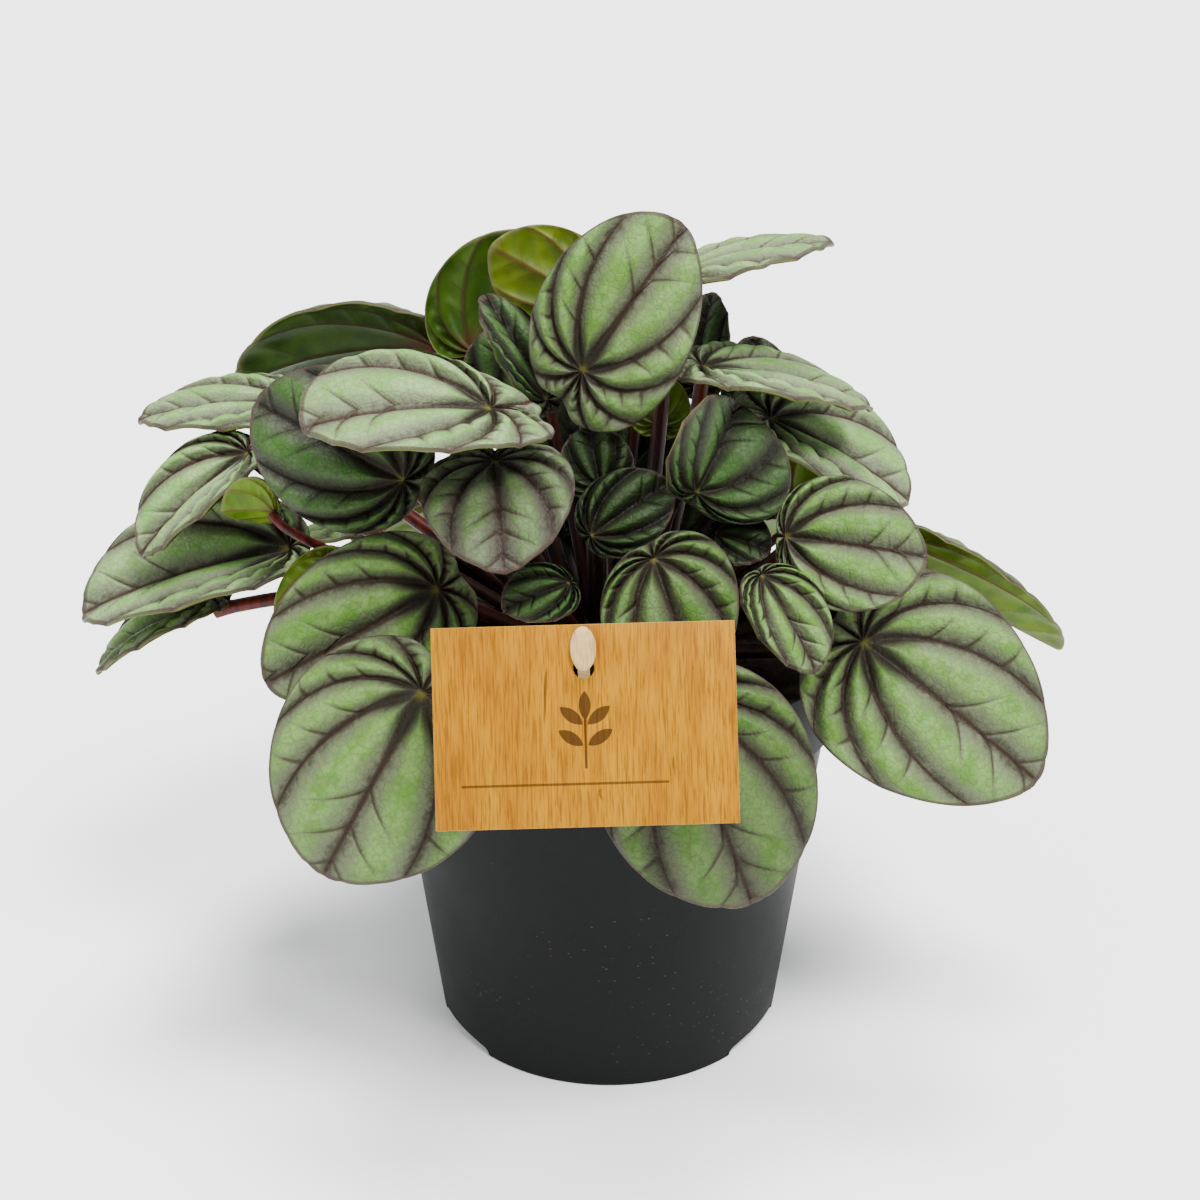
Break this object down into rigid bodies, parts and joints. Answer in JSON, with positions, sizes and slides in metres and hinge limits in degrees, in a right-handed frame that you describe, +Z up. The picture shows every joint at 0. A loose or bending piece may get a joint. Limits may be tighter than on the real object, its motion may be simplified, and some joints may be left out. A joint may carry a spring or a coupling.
{
  "type": "potted peperomia",
  "caption": "House plant with quilted, dark-veined silvery green leaves on red stalks, in a tapered nursery pot of soil with a plain hanging plant label.",
  "frame": {"origin": "middle of the pot's underside, on the surface that it stands on", "axes": "+Z up, -Y to the front, where the label hangs, +X to the right seen from the front"},
  "size_m": [0.2456, 0.1977, 0.2146],
  "materials": {
    "pot_plastic": "anthracite moulded polypropylene, satin, a little dusty",
    "potting_soil": "moist dark peat with brown fibres and crumbs",
    "stalk": "smooth fleshy dark red stalk",
    "leaf": "quilted silvery green leaf with dark purple-brown veins and margin, satin",
    "label_card": null,
    "stake_wood": "pale unfinished wood"
  },
  "bodies": {
    "root": {"pot": "pot_plastic", "soil": "potting_soil", "crown_and_stalks": "stalk", "leaf_top_middle": "leaf", "leaf_top_right": "leaf", "leaf_behind_right": "leaf", "leaf_right_upper": "leaf", "leaf_right_middle": "leaf", "leaf_center_right": "leaf", "leaf_right_front": "leaf", "leaf_right_far": "leaf", "leaf_right_low": "leaf", "leaf_right_small": "leaf", "leaf_right_inner": "leaf", "leaf_center_front": "leaf", "leaf_front_low": "leaf", "leaf_inner_middle": "leaf", "leaf_inner_upper": "leaf", "leaf_inner_under": "leaf", "leaf_silver_middle": "leaf", "leaf_left_top": "leaf", "leaf_left_dark": "leaf", "leaf_left_far": "leaf", "leaf_left_back": "leaf", "leaf_back_disc": "leaf", "leaf_back_middle": "leaf", "leaf_inner_left": "leaf", "leaf_narrow_left": "leaf", "leaf_left_middle": "leaf", "leaf_left_small": "leaf", "leaf_left_low": "leaf", "leaf_left_lowest": "leaf", "leaf_front_left": "leaf", "leaf_front_left_low": "leaf", "leaf_small_front": "leaf", "leaf_left_under": "leaf", "leaf_shade_left": "leaf", "leaf_shade_middle": "leaf", "leaf_shade_right": "leaf", "leaf_shade_back": "leaf", "leaf_right_between": "leaf", "leaf_rear_low_left": "leaf", "leaf_rear_low_middle": "leaf", "leaf_rear_low_right": "leaf", "leaf_rear_side_left": "leaf", "leaf_rear_side_right": "leaf", "leaf_rear_middle_left": "leaf", "leaf_rear_middle": "leaf", "leaf_rear_middle_right": "leaf", "leaf_rear_upper_left": "leaf", "leaf_rear_upper_right": "leaf", "label": "label_card", "label_stake": "stake_wood"}
  },
  "joints": []
}
